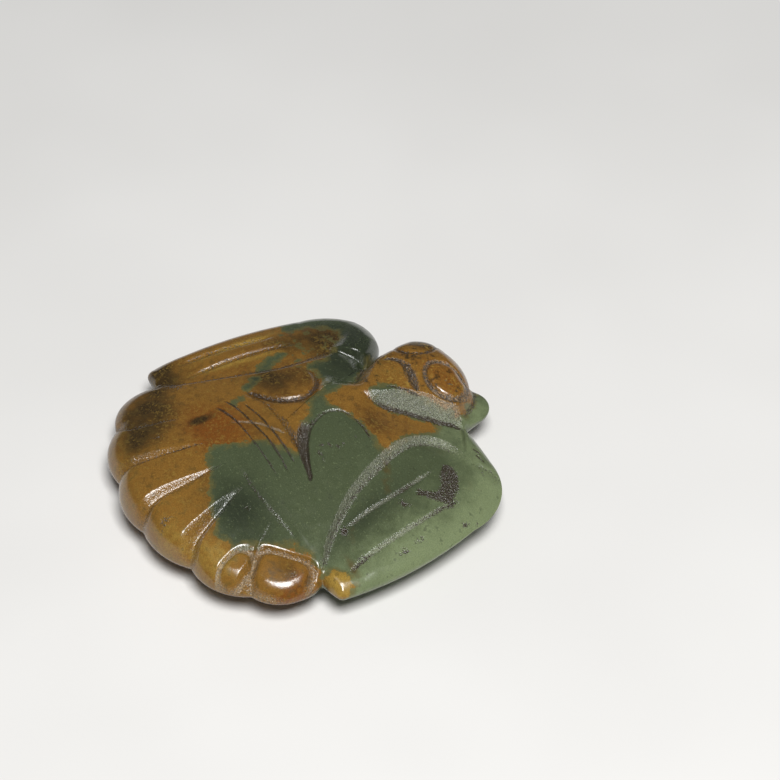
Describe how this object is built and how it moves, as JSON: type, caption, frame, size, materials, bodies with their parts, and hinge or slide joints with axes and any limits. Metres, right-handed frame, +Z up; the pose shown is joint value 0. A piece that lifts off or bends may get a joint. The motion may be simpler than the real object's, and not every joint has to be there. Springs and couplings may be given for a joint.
{
  "type": "carved jade bird",
  "caption": "Palm-sized carved jade bird lying flat, with folded wings, a scalloped fan tail and a turned head; a loose ornament that rests on its rounded belly.",
  "frame": {"origin": "on the surface the bird lies on, under the middle of its outline's box", "axes": "+Z up from the belly to the back; +Y along the back towards the head; +X to the bird's right wing"},
  "size_m": [0.0582, 0.0594, 0.013],
  "materials": {
    "jade": "polished nephrite, green under a brown skin"
  },
  "bodies": {
    "root": {"jade_bird": "jade"}
  },
  "joints": []
}
